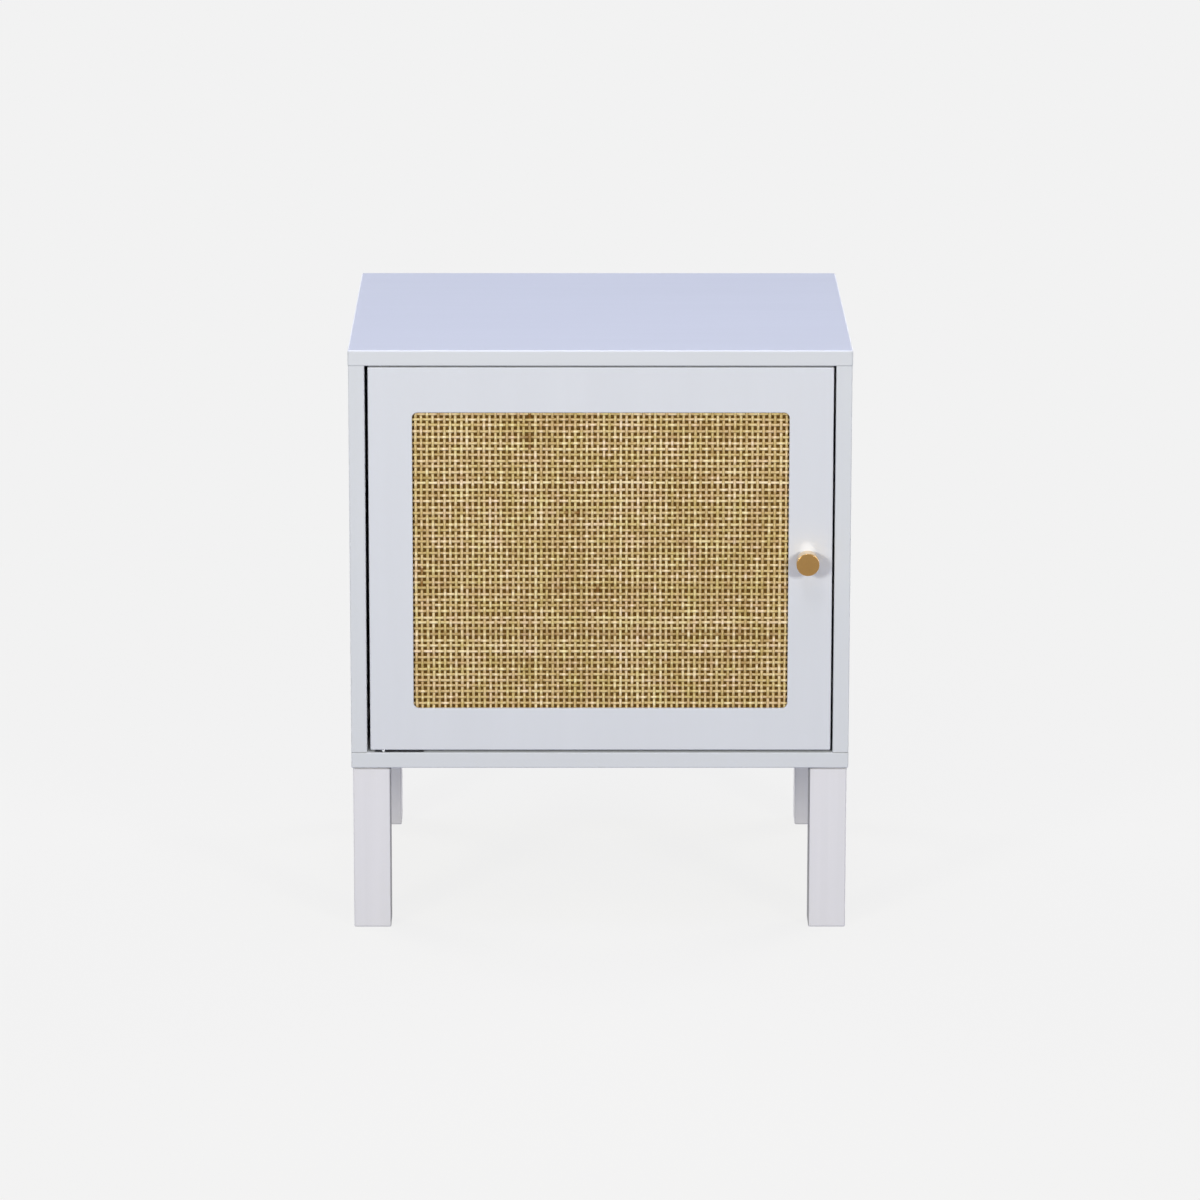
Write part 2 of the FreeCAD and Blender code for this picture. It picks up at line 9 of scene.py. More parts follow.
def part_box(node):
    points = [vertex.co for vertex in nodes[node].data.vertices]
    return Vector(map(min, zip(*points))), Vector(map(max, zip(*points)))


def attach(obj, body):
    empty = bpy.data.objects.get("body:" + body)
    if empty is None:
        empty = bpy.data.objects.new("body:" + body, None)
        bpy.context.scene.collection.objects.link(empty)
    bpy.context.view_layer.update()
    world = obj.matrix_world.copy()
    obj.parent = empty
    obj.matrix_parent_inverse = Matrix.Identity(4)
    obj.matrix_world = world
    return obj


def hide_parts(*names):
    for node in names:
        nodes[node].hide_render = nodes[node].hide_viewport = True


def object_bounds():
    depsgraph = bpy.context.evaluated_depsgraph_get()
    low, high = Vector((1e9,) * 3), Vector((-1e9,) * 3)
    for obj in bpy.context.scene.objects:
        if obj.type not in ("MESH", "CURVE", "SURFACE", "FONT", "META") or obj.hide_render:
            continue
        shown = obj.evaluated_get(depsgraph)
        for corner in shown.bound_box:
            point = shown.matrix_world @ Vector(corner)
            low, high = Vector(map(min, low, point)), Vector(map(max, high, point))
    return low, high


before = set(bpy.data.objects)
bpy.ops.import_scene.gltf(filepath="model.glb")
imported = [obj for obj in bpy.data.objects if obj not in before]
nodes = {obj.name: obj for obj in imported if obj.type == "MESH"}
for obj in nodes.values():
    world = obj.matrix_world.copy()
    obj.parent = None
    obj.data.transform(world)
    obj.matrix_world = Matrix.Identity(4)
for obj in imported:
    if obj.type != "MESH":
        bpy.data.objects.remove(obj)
cad_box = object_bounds()


# Cabinet boards: bottom, sides, back and the loose shelf
# Fibreboard cut to size and sprayed with a satin white paint that leaves a fine stipple. The sides stand
# on the bottom panel, with a fine line of painted shade at the joint, and the back slides in grooves all round.
board_white = (0.668, 0.685, 0.682, 1.0)
board_streak = 0.048
upright_streaks = (45.0, 45.0, 3.0)
level_streaks = (3.0, 45.0, 45.0)
streak_relief = 0.35
gloss_drift = 0.12
paint_rough = 0.58
paint_specular = 0.35
stipple_depth = 0.00004
# Painted shade: a fine darker line at the foot of each side stands for the shadow in the joint
foot_joint_shade = {"Axis": (0.0, 0.0, 1.0), "Start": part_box("left_side_panel")[0].z, "Reach": 0.0006, "Tone": 0.42}


def add(tree, kind, inputs=None, **settings):
    """Adds a node, sets its properties, and sets or links its sockets."""
    made = tree.nodes.new(kind)
    for name, value in settings.items():
        setattr(made, name, value)
    for name, value in (inputs or {}).items():
        if isinstance(value, bpy.types.NodeSocket):
            tree.links.new(value, made.inputs[name])
        else:
            made.inputs[name].default_value = value
    return made


def worked(tree, operation, *values):
    """A number worked out from others."""
    return add(tree, "ShaderNodeMath", dict(enumerate(values)), operation=operation).outputs[0]


def vector_worked(tree, operation, *values):
    """A vector worked out from others."""
    return add(tree, "ShaderNodeVectorMath", dict(enumerate(values)), operation=operation).outputs[0]


def scaled(tree, colour, factor):
    """A colour made darker or lighter by a factor."""
    return add(tree, "ShaderNodeVectorMath", {0: colour, 3: factor}, operation="SCALE").outputs[0]


def speckle(tree, place, scale, detail, distortion=0.0):
    """A cloudy pattern over the surface, from nought to one."""
    settings = {"Vector": place, "Scale": scale, "Detail": detail, "Distortion": distortion}
    return add(tree, "ShaderNodeTexNoise", settings).outputs["Fac"]


def between(tree, share, low, high):
    """A value that goes from low to high as a share goes from nought to one."""
    return add(tree, "ShaderNodeMapRange", {"Value": share, "To Min": low, "To Max": high}).outputs[0]


def blend(tree, share, first, second):
    """A colour that goes from the first to the second as a share goes from nought to one."""
    return add(tree, "ShaderNodeMix", {0: share, 6: first, 7: second}, data_type="RGBA").outputs[2]


def effect(name, inputs, outputs):
    """A node group with named sockets: the group, what comes in and where it goes out."""
    group = bpy.data.node_groups.new(name, "ShaderNodeTree")
    for label, kind in inputs.items():
        group.interface.new_socket(label, in_out="INPUT", socket_type="NodeSocket" + kind)
    for label, kind in outputs.items():
        group.interface.new_socket(label, in_out="OUTPUT", socket_type="NodeSocket" + kind)
    return group, group.nodes.new("NodeGroupInput").outputs, group.nodes.new("NodeGroupOutput").inputs


def surface(name):
    """A new material: its tree, its Principled shader and the place of each point on the object."""
    material = bpy.data.materials.new(name)
    material.use_nodes = True
    tree = material.node_tree
    place = add(tree, "ShaderNodeTexCoord").outputs["Object"]
    return material, tree, tree.nodes["Principled BSDF"], place


def dress(tree, shader, colour, rough, height, strength, depth):
    """Leads a colour, a roughness and a relief to a Principled shader."""
    bump = add(tree, "ShaderNodeBump", {"Height": height, "Strength": strength, "Distance": depth})
    tree.links.new(colour, shader.inputs["Base Color"])
    tree.links.new(rough, shader.inputs["Roughness"])
    tree.links.new(bump.outputs[0], shader.inputs["Normal"])


def finish_nodes(material, *names):
    """Gives CAD nodes their finish."""
    for name in names:
        for slot in nodes[name].material_slots:
            slot.material = material


def paint_film():
    """Sprayed paint: faint streaks along the board, slow drifts of gloss and a fine stipple."""
    group, given, out = effect(
        "paint_film",
        {"Place": "Vector", "Colour": "Color", "Rough": "Float", "Streak": "Float", "Streak Scale": "Vector"},
        {"Colour": "Color", "Roughness": "Float", "Height": "Float"})
    along = vector_worked(group, "MULTIPLY", given["Place"], given["Streak Scale"])
    streaks = speckle(group, along, scale=1.0, detail=5.0)
    drifts = speckle(group, given["Place"], scale=7.0, detail=3.0)
    stipple = speckle(group, given["Place"], scale=1100.0, detail=2.0)
    swing = worked(group, "SUBTRACT", streaks, 0.5)
    tone = worked(group, "MULTIPLY_ADD", swing, given["Streak"], 1.0)
    rough = worked(group, "MULTIPLY_ADD", drifts, gloss_drift, given["Rough"])
    height = worked(group, "MULTIPLY_ADD", streaks, streak_relief, stipple)
    group.links.new(scaled(group, given["Colour"], tone), out["Colour"])
    group.links.new(rough, out["Roughness"])
    group.links.new(height, out["Height"])
    return group


def painted_shade_band():
    """Painted shade: paint that is darker from a start on one axis outward to half its reach, and fades over
    the rest.
    """
    group, given, out = effect(
        "painted_shade_band",
        {"Place": "Vector", "Colour": "Color", "Axis": "Vector", "Start": "Float", "Reach": "Float",
         "Tone": "Float"},
        {"Colour": "Color"})
    mirrored = vector_worked(group, "ABSOLUTE", given["Place"])
    outward = add(group, "ShaderNodeVectorMath", {0: mirrored, 1: given["Axis"]}, operation="DOT_PRODUCT")
    past = worked(group, "SUBTRACT", outward.outputs["Value"], given["Start"])
    share = worked(group, "DIVIDE", past, given["Reach"])
    tone = add(group, "ShaderNodeMapRange", {"Value": share, "From Min": 0.5, "To Min": given["Tone"]})
    group.links.new(scaled(group, given["Colour"], tone.outputs[0]), out["Colour"])
    return group


paint_group = paint_film()
painted_shade_group = painted_shade_band()


def white_paint(name, colour, streak, streak_scale, shade_band=None):
    """Satin white paint whose streaks follow the board or post under it, with a band of painted shade or none.
    """
    material, tree, shader, place = surface(name)
    film = add(tree, "ShaderNodeGroup", node_tree=paint_group, inputs={
        "Place": place, "Colour": colour, "Rough": paint_rough, "Streak": streak,
        "Streak Scale": streak_scale})
    painted = film.outputs["Colour"]
    if shade_band:
        coat = add(tree, "ShaderNodeGroup", {"Place": place, "Colour": painted, **shade_band}, node_tree=painted_shade_group)
        painted = coat.outputs["Colour"]
    shader.inputs["Specular IOR Level"].default_value = paint_specular
    dress(tree, shader, painted, film.outputs["Roughness"], film.outputs["Height"],
          strength=0.35, depth=stipple_depth)
    return material


flat_paint = white_paint("flat_board_paint", board_white, board_streak, level_streaks)
upright_paint = white_paint("upright_board_paint", board_white, board_streak, upright_streaks)
side_paint = white_paint("side_board_paint", board_white, board_streak, upright_streaks, foot_joint_shade)
finish_nodes(flat_paint, "bottom_panel", "shelf")
finish_nodes(upright_paint, "back_panel")
finish_nodes(side_paint, "left_side_panel", "right_side_panel")


# Top panel
# The same board and paint, laid over the sides. Its upper arris is rounded a little more and made
# smoother, and a painted highlight makes it paler, so that it shows as a bright line round the top.
# Painted highlight: near-white paint along the upper arris stands for the light it catches
highlight_white = (0.97, 0.98, 0.97, 1.0)
arris_rough = 0.3
highlight_reach = 0.0015
top_low, top_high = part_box("top_panel")


def top_with_highlight():
    """The boards' paint with a painted highlight: paler and smoother where both the rim and the upper face are
    near.
    """
    material = flat_paint.copy()
    material.name = "top_panel_paint"
    tree = material.node_tree
    shader = tree.nodes["Principled BSDF"]
    place = add(tree, "ShaderNodeTexCoord").outputs["Object"]
    from_low = vector_worked(tree, "SUBTRACT", place, top_low)
    from_high = vector_worked(tree, "SUBTRACT", top_high, place)
    inset = add(tree, "ShaderNodeSeparateXYZ", {0: vector_worked(tree, "MINIMUM", from_low, from_high)})
    depth = add(tree, "ShaderNodeSeparateXYZ", {0: from_high})
    rim = worked(tree, "MINIMUM", inset.outputs["X"], inset.outputs["Y"])
    arris = worked(tree, "MAXIMUM", rim, depth.outputs["Z"])
    highlight_share = add(tree, "ShaderNodeMapRange", interpolation_type="SMOOTHSTEP", inputs={
        "Value": arris, "From Max": highlight_reach, "To Min": 1.0, "To Max": 0.0}).outputs[0]
    painted = shader.inputs["Base Color"].links[0].from_socket
    satin = shader.inputs["Roughness"].links[0].from_socket
    rough = add(tree, "ShaderNodeMix", {0: highlight_share, 2: satin, 3: arris_rough})
    tree.links.new(blend(tree, highlight_share, painted, highlight_white), shader.inputs["Base Color"])
    tree.links.new(rough.outputs[0], shader.inputs["Roughness"])
    return material


finish_nodes(top_with_highlight(), "top_panel")


# Four square legs
# Solid softwood posts, planed and painted with the boards, with the grain as faint upright bands. The
# front pair's inner sides are darkened as painted shade. Each is bolted to the bottom panel beside a dowel.
# The legs' white is a little warmer than the boards' and paler; the paleness is painted light that makes up for
# the light the low legs lack
leg_white_lightened = (0.765, 0.752, 0.745, 1.0)
leg_streak = 0.12
leg_streaks = (110.0, 110.0, 2.5)
# Painted shade: the inner sides of the front legs are darkened to stand for the shade under the cabinet
inner_side_shade = {"Axis": (1.0, 0.0, 0.0), "Start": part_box("front_right_leg")[0].x, "Reach": 0.0008, "Tone": 0.5}
rear_leg_paint = white_paint("leg_paint", leg_white_lightened, leg_streak, leg_streaks)
front_leg_paint = white_paint("front_leg_paint", leg_white_lightened, leg_streak, leg_streaks, inner_side_shade)
finish_nodes(rear_leg_paint, "rear_left_leg", "rear_right_leg")
finish_nodes(front_leg_paint, "front_left_leg", "front_right_leg")


# Bolts, inserts, cams, pivots, screws and shelf supports
# Turned, stamped or die-cast steel with a bright zinc plate, which dries in soft cloudy patches. They
# are screwed, pressed or dropped into bores in the boards.
zinc_pale = (0.66, 0.67, 0.68, 1.0)
zinc_dull = (0.47, 0.48, 0.50, 1.0)
zinc_crystals = 900.0


def zinc_plate():
    material, tree, shader, place = surface("zinc_plate")
    clouds = speckle(tree, place, scale=260.0, detail=4.0)
    crystals = add(tree, "ShaderNodeTexVoronoi", {"Vector": place, "Scale": zinc_crystals})
    colour = blend(tree, clouds, zinc_dull, zinc_pale)
    rough = between(tree, crystals.outputs["Distance"], low=0.26, high=0.46)
    shader.inputs["Metallic"].default_value = 1.0
    dress(tree, shader, colour, rough, clouds, strength=0.2, depth=0.00005)
    return material


finish_nodes(zinc_plate(), "leg_inserts", "leg_bolts", "cam_bolts", "cam_locks", "shelf_supports",
             "lower_pivot_plate", "lower_pivot_pin", "upper_pivot_plate", "upper_pivot_pin",
             "pivot_plate_screws", "catch_screws", "bead_pins", "knob_screw", "strike_plate", "strike_screw")


# Dowels
# Short bare hardwood pins, fluted along their length so that glue can spread. They are tapped into
# matching holes in the board joints and the leg tops.
dowel_light = (0.60, 0.42, 0.24, 1.0)
dowel_dark = (0.42, 0.26, 0.13, 1.0)
dowel_grain = (700.0, 700.0, 18.0)


def dowel_wood():
    material, tree, shader, place = surface("dowel_wood")
    grain = speckle(tree, vector_worked(tree, "MULTIPLY", place, dowel_grain), scale=1.0, detail=6.0)
    colour = blend(tree, grain, dowel_dark, dowel_light)
    rough = between(tree, grain, low=0.7, high=0.5)
    dress(tree, shader, colour, rough, grain, strength=0.6, depth=0.0003)
    return material


finish_nodes(dowel_wood(), "panel_dowels", "leg_dowels")


# Cam covers, bushes, thrust disc and catch housing
# Injection-moulded nylon with the fine spark texture of its mould. The covers press over the cams, the
# bushes into the door's edges, and the housing hangs under the top by two screws.
plastic_white = (0.70, 0.71, 0.71, 1.0)
plastic_dull = (0.66, 0.67, 0.66, 1.0)


def moulded_plastic():
    material, tree, shader, place = surface("moulded_plastic")
    spark = speckle(tree, place, scale=2600.0, detail=3.0)
    cloud = speckle(tree, place, scale=60.0, detail=2.0)
    colour = blend(tree, cloud, plastic_white, plastic_dull)
    rough = between(tree, spark, low=0.38, high=0.6)
    dress(tree, shader, colour, rough, spark, strength=0.4, depth=0.00004)
    return material


finish_nodes(moulded_plastic(), "cam_covers", "lower_thrust_disc", "lower_pivot_bush", "upper_pivot_bush",
             "catch_housing")


# Catch magnet
# A pressed and sintered block, nearly black, with a dull grainy face. It sits in the housing's pocket
# and stands a little proud to meet the strike plate.
magnet_black = (0.035, 0.036, 0.040, 1.0)
magnet_grey = (0.075, 0.076, 0.080, 1.0)


def sintered_block():
    material, tree, shader, place = surface("sintered_magnet")
    grains = speckle(tree, place, scale=1800.0, detail=5.0)
    colour = blend(tree, grains, magnet_black, magnet_grey)
    rough = between(tree, grains, low=0.55, high=0.8)
    dress(tree, shader, colour, rough, grains, strength=0.5, depth=0.0001)
    return material


finish_nodes(sintered_block(), "catch_magnet")


# Door board and its beads
# One fibreboard panel with the window routed through it and a rebate cut behind, sprayed with the same
# white paint. Four thin beads are pinned into the rebate to hold the cane.
door_white = (0.688, 0.703, 0.710, 1.0)
door_paint = white_paint("door_paint", door_white, board_streak, upright_streaks)
finish_nodes(door_paint, "door_frame", "retaining_bead_left", "retaining_bead_right", "retaining_bead_top",
             "retaining_bead_bottom")


# Backing board
# Thin brown hardboard, pressed from wood fibre, with a mottled smooth face. It lies in the rebate behind
# the cane and closes the holes of the weave.
hardboard_dark = (0.095, 0.046, 0.006, 1.0)
hardboard_warm = (0.175, 0.088, 0.014, 1.0)
hardboard_specular = 0.1


def hardboard():
    material, tree, shader, place = surface("brown_hardboard")
    fibres = speckle(tree, place, scale=420.0, detail=8.0, distortion=1.5)
    colour = blend(tree, fibres, hardboard_dark, hardboard_warm)
    rough = between(tree, fibres, low=0.5, high=0.75)
    shader.inputs["Specular IOR Level"].default_value = hardboard_specular
    dress(tree, shader, colour, rough, fibres, strength=0.3, depth=0.0001)
    return material


finish_nodes(hardboard(), "cane_backing")


# Woven cane
# Peeled rattan split into flat strips with a rounded, glossy outer skin, woven one over and one under
# into an open square mesh, soaked, and pressed into the rebate, where it dries tight.
cane_low, cane_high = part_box("cane_panel")
rebate_cover = 0.0077
warp_count = 66
weft_count = 51
warp_left_edge = 0.00313
warp_right_edge = 0.0026
weft_top_edge = 0.0018
weft_bottom_edge = 0.0044
strip_width = 0.00265
strip_width_spread = (0.92, 1.07)
strip_thickness = 0.00088
strip_lean = 0.10
strip_drift = 0.00045
strip_sides = 6
weave_depth = 0.00046
weave_bend = 0.7
steps_per_crossing = 4
warp_stray = 0.00012
weft_stray = 0.00022
cane_seed = 11
chance_span = 100.0
window_low = cane_low + Vector((rebate_cover, 0.0, rebate_cover))
window_high = cane_high - Vector((rebate_cover, 0.0, rebate_cover))
warp_first = window_low.x + warp_left_edge
warp_pitch = (window_high.x - warp_right_edge - warp_first) / (warp_count - 1)
weft_first = window_high.z - weft_top_edge
weft_pitch = (weft_first - window_low.z - weft_bottom_edge) / (weft_count - 1)
cane_middle = (cane_low.y + cane_high.y) / 2

# Tone along a strip, from dull to pale: its mean, how much strips differ, slow and quick changes along it,
# a painted highlight where it lies on top, and darker edges as painted shade
mean_tone = 0.5
warp_tone_spread = 0.07
weft_tone_spread = 0.037
slow_tone = 0.12
fleck_tone = 0.25
highlight_tone = 1.1
highlight_floor = 0.05
highlight_sharpness = 4
highlight_step = 1.7
highlight_row = 2.3
highlight_layer = 11.0
crown_light_shade_tone = 0.01
edge_shade_tone = 0.14
stain_mean = 0.75
stain_swing = 0.9

# Strips listed one by one: dull and pale ones, a stained orange one, and short brown stains, each by strip
# number from the left or top, and a stain by its stretch as shares of the window and its strength
weft_tones = {11: -0.30, 12: 0.26, 13: 0.08, 15: 0.10, 30: -0.12, 35: 0.18, 36: 0.20, 40: 0.12, 41: 0.18,
              43: -0.10}
warp_tones = {11: -0.10, 25: -0.10, 36: 0.09, 38: 0.09, 44: -0.13, 51: -0.14, 52: -0.14}
stained_wefts = {38: (0.0, 1.0, 0.6), 17: (0.40, 0.47, 1.0), 4: (0.28, 0.33, 0.8), 49: (0.48, 0.55, 0.4)}
stained_warps = {20: (0.0, 0.12, 1.0), 32: (0.58, 0.65, 1.0), 1: (0.53, 0.61, 0.9), 56: (0.30, 0.55, 0.35)}
crowded_wefts = {12: 0.22, 35: -0.10, 36: 0.12, 39: -0.12}


def chance(place, seed, scale, shift, layer):
    """A smooth chance value along a strip, from minus one to one."""
    return noise.noise(Vector((place * scale, seed + shift, layer)))


def crossing_highlight(step, number, wave, side):
    """A painted highlight: how pale a strip is where it lies on top of another, nought at most crossings."""
    crossing = Vector((round(step) * highlight_step, number * highlight_row, highlight_layer + side))
    return max(0.0, side * wave) ** highlight_sharpness * max(0.0, noise.noise(crossing) + highlight_floor)


def lay_strip(bm, rng, upright, number, centre, tone, stain):
    """Weaves one strip into a mesh, over and under the strips that it crosses."""
    tone_layer = bm.verts.layers.float["tone"]
    stain_layer = bm.verts.layers.float["stain"]
    along, across = (2, 0) if upright else (0, 2)
    start, end = cane_low[along], cane_high[along]
    crossing_first, pitch = (weft_first, -weft_pitch) if upright else (warp_first, warp_pitch)
    crossing_count = weft_count if upright else warp_count
    width = strip_width * rng.uniform(*strip_width_spread)
    lean = rng.uniform(-strip_lean, strip_lean)
    seed = rng.uniform(0.0, chance_span)
    turn = Matrix.Rotation(math.pi / 2, 4, "Z")
    if not upright:
        turn = Matrix.Rotation(math.pi / 2, 4, "Y") @ turn
    bar = bmesh.ops.create_cone(bm, cap_ends=True, segments=strip_sides, radius1=1.0, radius2=1.0, depth=1.0,
                                matrix=turn)["verts"]
    long_edges = [edge for edge in {edge for vert in bar for edge in vert.link_edges}
                  if abs(edge.verts[0].co[along] - edge.verts[1].co[along]) > 0.5]
    cuts = round((end - start) / abs(pitch) * steps_per_crossing)
    cut = bmesh.ops.subdivide_edges(bm, edges=long_edges, cuts=cuts)["geom"]
    verts = {vert for edge in cut if isinstance(edge, bmesh.types.BMEdge) for vert in edge.verts}
    side = 1.0 if upright else -1.0
    for vert in verts:
        place = start + (vert.co[along] + 0.5) * (end - start)
        step = (place - crossing_first) / pitch
        wave = math.cos(math.pi * (step + number))
        # Painted highlight where the strip lies on top at some crossings
        spark = crossing_highlight(step, number, wave, side)
        wave = math.copysign(abs(wave) ** weave_bend, wave)
        slow = chance(place, seed, scale=55.0, shift=7.0, layer=3.0)
        fleck = chance(place, seed, scale=250.0, shift=31.0, layer=5.0)
        # Painted highlight where the strip lies on top, painted shade where it dips under and toward its edges
        light_and_shade = crown_light_shade_tone * side * wave - edge_shade_tone * vert.co[across] ** 2
        vert[tone_layer] = tone + slow_tone * slow + fleck_tone * fleck + highlight_tone * spark + light_and_shade
        share = step / (crossing_count - 1)
        stained = stain and stain[0] <= share <= stain[1]
        patch = stain_mean + stain_swing * chance(place, seed, scale=140.0, shift=0.0, layer=9.0)
        vert[stain_layer] = stain[2] * max(0.0, min(1.0, patch)) if stained else 0.0
        edge = vert.co[across] * width / 2
        drift = strip_drift * chance(place, seed, scale=22.0, shift=0.0, layer=0.0)
        co = Vector((0.0, 0.0, 0.0))
        co[along] = place
        co[across] = centre + edge + drift
        co.y = cane_middle - side * weave_depth * wave + vert.co.y * strip_thickness / 2 + lean * edge
        vert.co = co


def strip_mesh(upright):
    """All the upright or all the level strips as one mesh."""
    rng = random.Random(cane_seed + upright)
    bm = bmesh.new()
    bm.verts.layers.float.new("tone")
    bm.verts.layers.float.new("stain")
    if upright:
        first, pitch, count = warp_first, warp_pitch, warp_count
        stray, tone_spread = warp_stray, warp_tone_spread
        tones, stains, crowding = warp_tones, stained_warps, {}
    else:
        first, pitch, count = weft_first, -weft_pitch, weft_count
        stray, tone_spread = weft_stray, weft_tone_spread
        tones, stains, crowding = weft_tones, stained_wefts, crowded_wefts
    for number in range(-1, count + 1):
        centre = first + pitch * (number - crowding.get(number, 0.0)) + rng.gauss(0.0, stray)
        tone = rng.gauss(mean_tone, tone_spread) + tones.get(number, 0.0)
        lay_strip(bm, rng, upright, number, centre, tone, stains.get(number))
    bmesh.ops.recalc_face_normals(bm, faces=bm.faces)
    for face in bm.faces:
        face.smooth = True
    mesh = bpy.data.meshes.new("cane_warp" if upright else "cane_weft")
    bm.to_mesh(mesh)
    bm.free()
    return mesh


cane_shade = (0.39, 0.242, 0.068, 1.0)
cane_straw = (0.66, 0.480, 0.200, 1.0)
cane_pale = (0.95, 0.79, 0.47, 1.0)
cane_stain = (0.24, 0.108, 0.015, 1.0)
cane_golden = (0.980, 1.022, 0.88, 1.0)
cane_rosy = (1.020, 0.978, 1.12, 1.0)
shade_stop = 0.12
straw_stop = 0.48
pale_stop = 0.85
cane_specular = 0.35
fibre_swing = 0.55
patch_swing = 0.34
tone_drop = 0.42
hue_low = 0.32
hue_high = 0.68
warp_fibres = (1600.0, 400.0, 40.0)
weft_fibres = (40.0, 400.0, 1600.0)


def cane_fibre():
    """Split cane: fine fibres along the strip, cloudy patches and brown stains."""
    group, given, out = effect(
        "cane_fibre",
        {"Place": "Vector", "Fibre Scale": "Vector", "Tone": "Float", "Stain": "Float"},
        {"Colour": "Color", "Roughness": "Float", "Height": "Float"})
    along = vector_worked(group, "MULTIPLY", given["Place"], given["Fibre Scale"])
    fibres = speckle(group, along, scale=1.0, detail=4.0)
    patches = speckle(group, given["Place"], scale=40.0, detail=4.0)
    fibre_tone = worked(group, "MULTIPLY_ADD", fibres, fibre_swing, given["Tone"])
    patch_tone = worked(group, "MULTIPLY_ADD", patches, patch_swing, fibre_tone)
    level = worked(group, "SUBTRACT", patch_tone, tone_drop)
    ramp = add(group, "ShaderNodeValToRGB", {"Fac": level})
    stops = ramp.color_ramp.elements
    stops[0].position = shade_stop
    stops[0].color = cane_shade
    stops[1].position = pale_stop
    stops[1].color = cane_pale
    stops.new(straw_stop).color = cane_straw
    hues = speckle(group, given["Place"], scale=65.0, detail=3.0)
    hue = add(group, "ShaderNodeMapRange", {"Value": hues, "From Min": hue_low, "From Max": hue_high})
    tint = blend(group, hue.outputs[0], cane_golden, cane_rosy)
    tinted = vector_worked(group, "MULTIPLY", ramp.outputs[0], tint)
    group.links.new(blend(group, given["Stain"], tinted, cane_stain), out["Colour"])
    group.links.new(between(group, fibres, low=0.30, high=0.55), out["Roughness"])
    group.links.new(fibres, out["Height"])
    return group


fibre_group = cane_fibre()


def cane_skin(name, fibre_scale):
    """Split cane whose tone and stains come with each strip."""
    material, tree, shader, place = surface(name)
    tone = add(tree, "ShaderNodeAttribute", attribute_name="tone").outputs["Fac"]
    stain = add(tree, "ShaderNodeAttribute", attribute_name="stain").outputs["Fac"]
    fibre = add(tree, "ShaderNodeGroup", node_tree=fibre_group, inputs={
        "Place": place, "Fibre Scale": fibre_scale, "Tone": tone, "Stain": stain}).outputs
    shader.inputs["Specular IOR Level"].default_value = cane_specular
    dress(tree, shader, fibre["Colour"], fibre["Roughness"], fibre["Height"], strength=0.4, depth=0.0002)
    return material


for name, upright, fibre_scale in (("cane_warp", 1, warp_fibres), ("cane_weft", 0, weft_fibres)):
    piece = bpy.data.objects.new(name, strip_mesh(upright))
    bpy.context.scene.collection.objects.link(piece)
    piece.data.materials.append(cane_skin(name + "_skin", fibre_scale))
    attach(piece, "door")
    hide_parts("cane_panel")


# Knob
# Turned solid brass with a satin lacquer and fine turning rings. Its face is a dark gold and its side a
# much paler one, as painted shade and a painted highlight for how light falls on the knob. A screw from
# behind the door draws its neck against the stile.
# Painted shade and highlight: the face's dark gold and the side's pale gold stand for how light falls on the
# knob
face_gold = (0.392, 0.218, 0.061, 1.0)
face_deep = (0.338, 0.183, 0.047, 1.0)
side_highlight_gold = (0.800, 0.560, 0.260, 1.0)
lacquer = 0.6
lacquer_rough = 0.12
rim_ease = 0.0008
knob_low, knob_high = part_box("knob")
knob_centre = (knob_low + knob_high) / 2


def turned_brass():
    material, tree, shader, place = surface("satin_gold")
    centred = vector_worked(tree, "SUBTRACT", place, knob_centre)
    flat = vector_worked(tree, "MULTIPLY", centred, (1.0, 0.0, 1.0))
    radius = add(tree, "ShaderNodeVectorMath", {0: flat}, operation="LENGTH").outputs["Value"]
    depth = add(tree, "ShaderNodeSeparateXYZ", {0: place}).outputs["Y"]
    track = add(tree, "ShaderNodeCombineXYZ", {0: radius, 1: depth}).outputs[0]
    rings = speckle(tree, track, scale=6000.0, detail=3.0)
    cloud = speckle(tree, place, scale=180.0, detail=4.0)
    face = blend(tree, cloud, face_deep, face_gold)
    side = add(tree, "ShaderNodeMapRange", {"Value": depth, "From Min": knob_low.y,
                                            "From Max": knob_low.y + rim_ease})
    colour = blend(tree, side.outputs[0], face, side_highlight_gold)
    rough = between(tree, rings, low=0.18, high=0.32)
    shader.inputs["Metallic"].default_value = 1.0
    shader.inputs["Coat Weight"].default_value = lacquer
    shader.inputs["Coat Roughness"].default_value = lacquer_rough
    dress(tree, shader, colour, rough, rings, strength=0.25, depth=0.00003)
    return material


finish_nodes(turned_brass(), "knob")


# Floor
# A plain pale sweep that runs out of sight. It shows nearly white to the camera and in reflections, with
# a soft shadow, and throws back light as a pale floor does.
floor_half = 30.0
floor_pale = (0.24, 0.262, 0.375, 1.0)
shadow_tint = (1.04, 1.00, 0.87)
backdrop_white = (1.0, 1.0, 1.0, 1.0)
backdrop_level = 0.888
shadow_share = 0.08
floor_light = 0.88
shadow_reach = 0.7
shadow_fade = 1.5


def seen_rays(tree):
    """One for rays from the camera, a mirror or a lens, and nought for those that only carry light."""
    path = add(tree, "ShaderNodeLightPath").outputs
    seen = worked(tree, "MAXIMUM", path["Is Camera Ray"], path["Is Glossy Ray"])
    return worked(tree, "MAXIMUM", seen, path["Is Transmission Ray"])


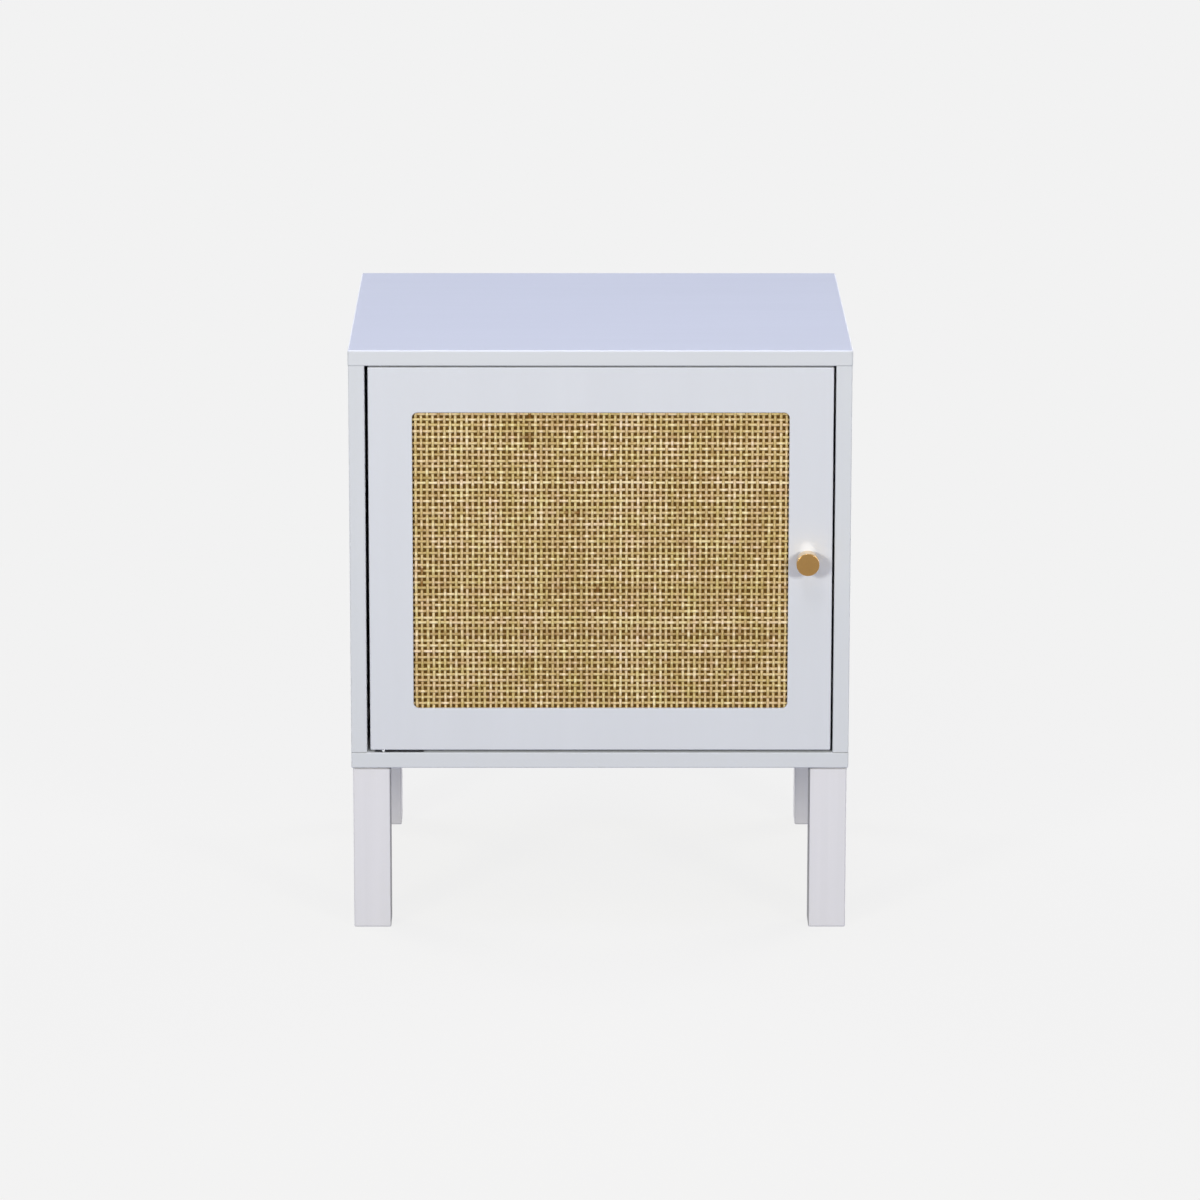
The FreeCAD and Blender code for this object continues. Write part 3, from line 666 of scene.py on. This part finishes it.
def pale_floor():
    material = bpy.data.materials.new("pale_floor")
    material.use_nodes = True
    tree = material.node_tree
    tree.nodes.clear()
    place = add(tree, "ShaderNodeTexCoord").outputs["Object"]
    away = add(tree, "ShaderNodeVectorMath", {0: place}, operation="LENGTH").outputs["Value"]
    near = add(tree, "ShaderNodeMapRange", interpolation_type="SMOOTHSTEP", inputs={
        "Value": away, "From Min": shadow_reach, "From Max": shadow_fade, "To Min": shadow_share,
        "To Max": 0.0}).outputs[0]
    level = worked(tree, "MULTIPLY_ADD", near, -floor_light, backdrop_level)
    glow = add(tree, "ShaderNodeEmission", {"Strength": level})
    shaded = add(tree, "ShaderNodeBsdfDiffuse", {"Color": scaled(tree, shadow_tint, near)})
    matte = add(tree, "ShaderNodeBsdfDiffuse", {"Color": floor_pale})
    lit = add(tree, "ShaderNodeAddShader", {0: glow.outputs[0], 1: shaded.outputs[0]})
    both = add(tree, "ShaderNodeMixShader", {0: seen_rays(tree), 1: matte.outputs[0], 2: lit.outputs[0]})
    add(tree, "ShaderNodeOutputMaterial", {"Surface": both.outputs[0]})
    return material


bm = bmesh.new()
bmesh.ops.create_grid(bm, x_segments=1, y_segments=1, size=floor_half)
floor_mesh = bpy.data.meshes.new("floor")
bm.to_mesh(floor_mesh)
bm.free()
floor = bpy.data.objects.new("floor", floor_mesh)
floor_mesh.materials.append(pale_floor())
bpy.context.scene.collection.objects.link(floor)


# Room and soft boxes
# Two soft boxes in front, left and right of the camera, a weak one above it, two behind for the sides and
# back, a bluish one overhead, and an even pale room all round that fills the shadows.
room_level = 0.06
room_tint = (0.95, 0.97, 1.0, 1.0)
front_box = {"elevation": 16.0, "distance": 4.0, "size": 0.63, "tint": (1.0, 0.99, 0.968)}
rear_box = {"elevation": 12.0, "distance": 3.5, "size": 1.8, "power": 78.0, "tint": (1.0, 0.99, 0.98)}
high_box = {"elevation": 56.0, "distance": 2.4, "size": 0.5, "power": 5.2, "tint": (1.0, 0.99, 0.98)}
overhead_box = {"elevation": 88.0, "distance": 2.6, "size": 1.6, "power": 37.3, "tint": (0.53, 0.59, 1.0)}
aim = (cad_box[0] + cad_box[1]) / 2

world = bpy.data.worlds.new("room")
bpy.context.scene.world = world
world.use_nodes = True
tree = world.node_tree
tree.nodes.clear()
room = add(tree, "ShaderNodeBackground", {"Color": room_tint, "Strength": room_level})
plain = add(tree, "ShaderNodeBackground", {"Color": backdrop_white, "Strength": backdrop_level})
mixed = add(tree, "ShaderNodeMixShader", {0: seen_rays(tree), 1: room.outputs[0], 2: plain.outputs[0]})
add(tree, "ShaderNodeOutputWorld", {"Surface": mixed.outputs[0]})


def away_from(azimuth, elevation):
    """The direction from the nightstand to a lamp, turned from the front and lifted, in degrees."""
    turn, lift = math.radians(azimuth), math.radians(elevation)
    return Vector((math.sin(turn) * math.cos(lift), -math.cos(turn) * math.cos(lift), math.sin(lift)))


def hang(lamp, target, away, distance):
    """Places a lamp so that it faces a target from a distance."""
    hung = bpy.data.objects.new(lamp.name, lamp)
    hung.location = target + away * distance
    hung.rotation_euler = away.to_track_quat("Z", "Y").to_euler()
    bpy.context.scene.collection.objects.link(hung)
    return hung


def soft_box(name, azimuth, elevation, distance, size, power, tint):
    """A square area lamp that faces the middle of the nightstand."""
    lamp = bpy.data.lights.new(name, "AREA")
    lamp.shape = "SQUARE"
    lamp.size = size
    lamp.energy = power
    lamp.color = tint
    hang(lamp, aim, away_from(azimuth, elevation), distance)


soft_box("front_left_soft_box", azimuth=-29.0, power=68.0, **front_box)
soft_box("rear_left_soft_box", azimuth=-125.0, **rear_box)
soft_box("front_right_soft_box", azimuth=29.0, power=62.8, **front_box)
soft_box("rear_right_soft_box", azimuth=125.0, **rear_box)
soft_box("high_soft_box", azimuth=-10.0, **high_box)
soft_box("overhead_soft_box", azimuth=0.0, **overhead_box)


# Knob gleam
# A narrow spot that stands for the light which the polished knob throws on the stile above it. It lights
# only the door and the knob, so it leaves no patch in the cabinet when the door stands open.
gleam_power = 9.2
gleam_tint = (1.0, 0.98, 0.97)
gleam_width = math.radians(1.6)
gleam_source = 0.002
gleam_lift = 40.0
gleam_distance = 0.7
gleam_drop = 0.0035
gleam_target = Vector((knob_centre.x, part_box("door_frame")[0].y, knob_high.z - gleam_drop))

gleam_lamp = bpy.data.lights.new("knob_gleam", "SPOT")
gleam_lamp.energy = gleam_power
gleam_lamp.color = gleam_tint
gleam_lamp.spot_size = gleam_width
gleam_lamp.spot_blend = 1.0
gleam_lamp.shadow_soft_size = gleam_source
gleam = hang(gleam_lamp, gleam_target, away_from(0.0, gleam_lift), gleam_distance)
gleam_catchers = bpy.data.collections.new("gleam_catchers")
for name in ("door_frame", "knob"):
    gleam_catchers.objects.link(nodes[name])
gleam.light_linking.receiver_collection = gleam_catchers


# Camera
# A long lens in front of the nightstand and above it, where the top shows as a thin band.
camera_lens = 181.0
camera_sensor = 36.0
camera_sight = 200.0
camera_place = Vector((-0.0255, -5.6916, 1.6339))
camera_pitch = math.radians(13.4355)
camera_yaw = math.radians(0.2645)
camera_roll = math.radians(0.066)

camera = bpy.data.objects.new("camera", bpy.data.cameras.new("camera"))
camera.data.sensor_width = camera_sensor
camera.data.lens = camera_lens
camera.data.clip_end = camera_sight
camera.location = camera_place
level_turn = Euler((math.pi / 2 - camera_pitch, 0.0, -camera_yaw)).to_matrix()
camera.rotation_euler = (level_turn @ Matrix.Rotation(camera_roll, 3, "Z")).to_euler()
bpy.context.scene.collection.objects.link(camera)
bpy.context.scene.camera = camera
bpy.context.scene.view_settings.view_transform = "Standard"
